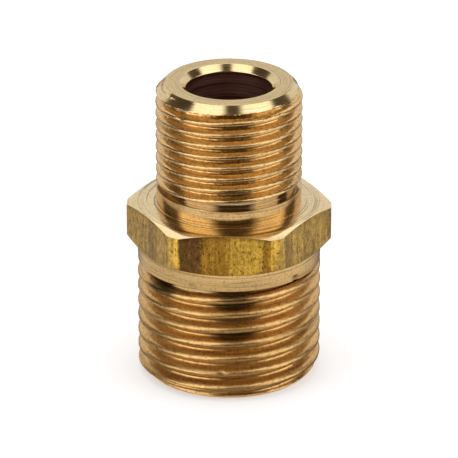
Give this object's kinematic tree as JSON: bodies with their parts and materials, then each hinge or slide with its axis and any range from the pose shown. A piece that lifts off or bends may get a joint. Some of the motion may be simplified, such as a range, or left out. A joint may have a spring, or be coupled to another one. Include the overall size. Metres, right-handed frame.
{
  "type": "reducing nipple",
  "caption": "Brass reducing nipple: a hexagon between a small and a large parallel male pipe thread, bored right through.",
  "frame": {"origin": "centre of the larger threaded end's face, on the bore's axis", "axes": "+Z along the bore towards the smaller threaded end; one flat of the hexagon faces -Y"},
  "size_m": [0.0234, 0.021, 0.0349],
  "materials": {
    "brass": "turned, with drawn flats"
  },
  "bodies": {
    "root": {"nipple_body": "brass"}
  },
  "joints": []
}
